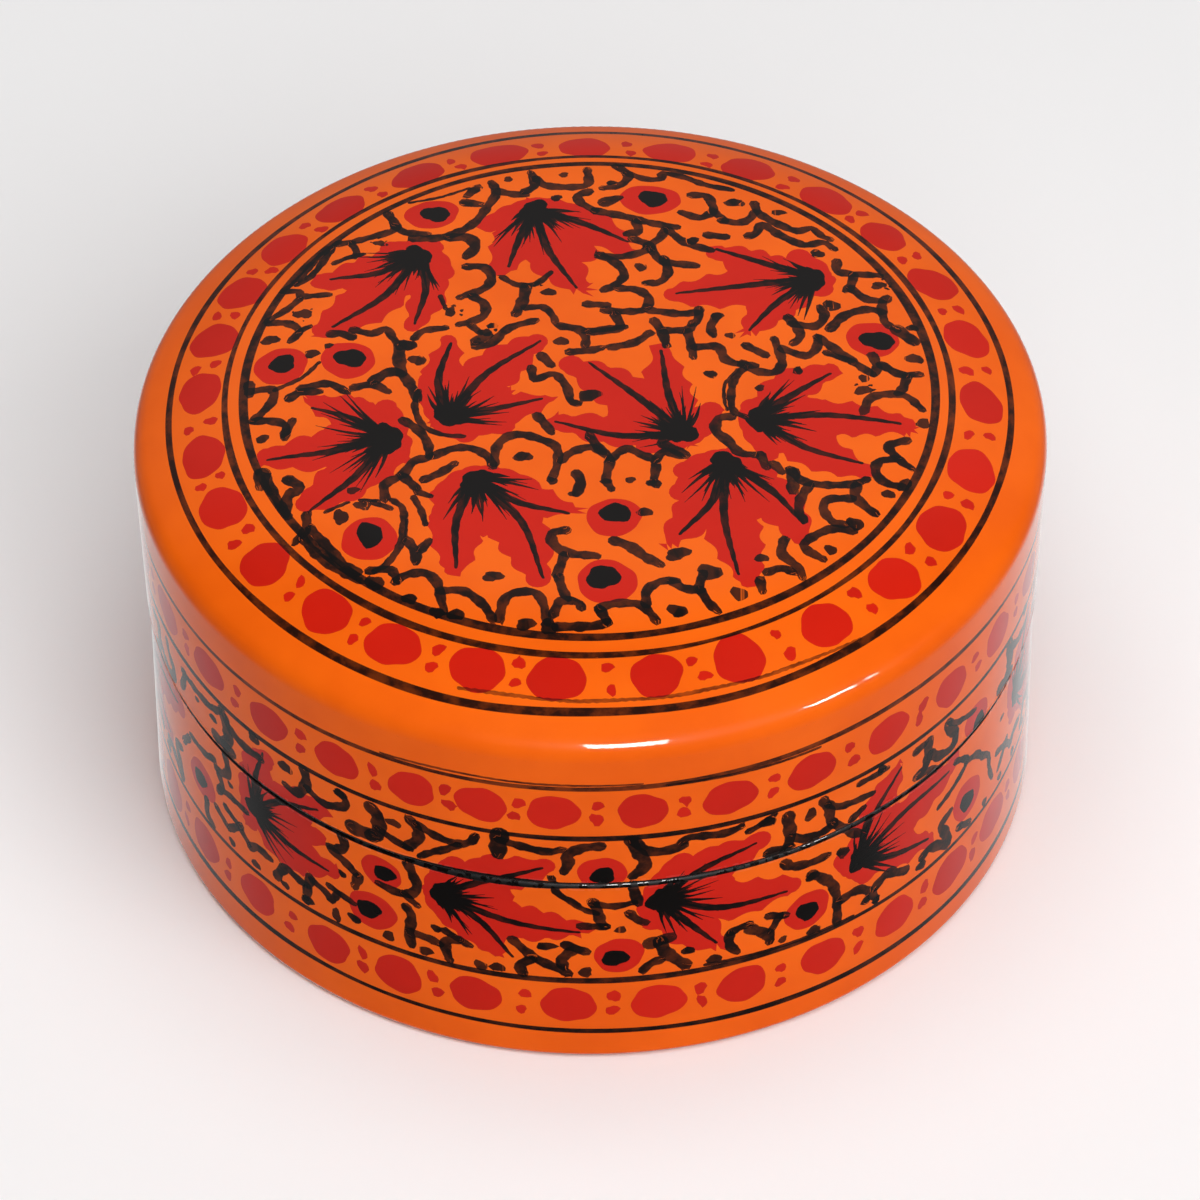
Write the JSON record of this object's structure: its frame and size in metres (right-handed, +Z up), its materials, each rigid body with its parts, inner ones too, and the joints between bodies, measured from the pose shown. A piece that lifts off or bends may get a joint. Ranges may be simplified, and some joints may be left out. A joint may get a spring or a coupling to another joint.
{
  "type": "papier mache box",
  "caption": "Round papier mache trinket box with a crowned lift-off lid over an inner collar, painted with leaves, berries and dotted borders under gloss lacquer.",
  "frame": {"origin": "middle of the underside, where the box rests", "axes": "+Z up through the middle of the lid; -Y is the side that faces the camera in the picture"},
  "size_m": [0.121, 0.121, 0.0654],
  "materials": {
    "lacquered_paper": "gloss",
    "painted_paper": "satin",
    "felt": "matte"
  },
  "bodies": {
    "base": {"base_wall": "lacquered_paper", "base_floor": "painted_paper", "base_collar": "painted_paper", "floor_lining": "felt"},
    "lid": {"lid_wall": "lacquered_paper", "lid_top": "lacquered_paper"}
  },
  "joints": [
    {"name": "lid_lift", "type": "slide", "parent": "base", "child": "lid", "axis": [0, 0, 1], "range_m": [0, 0.075]}
  ]
}
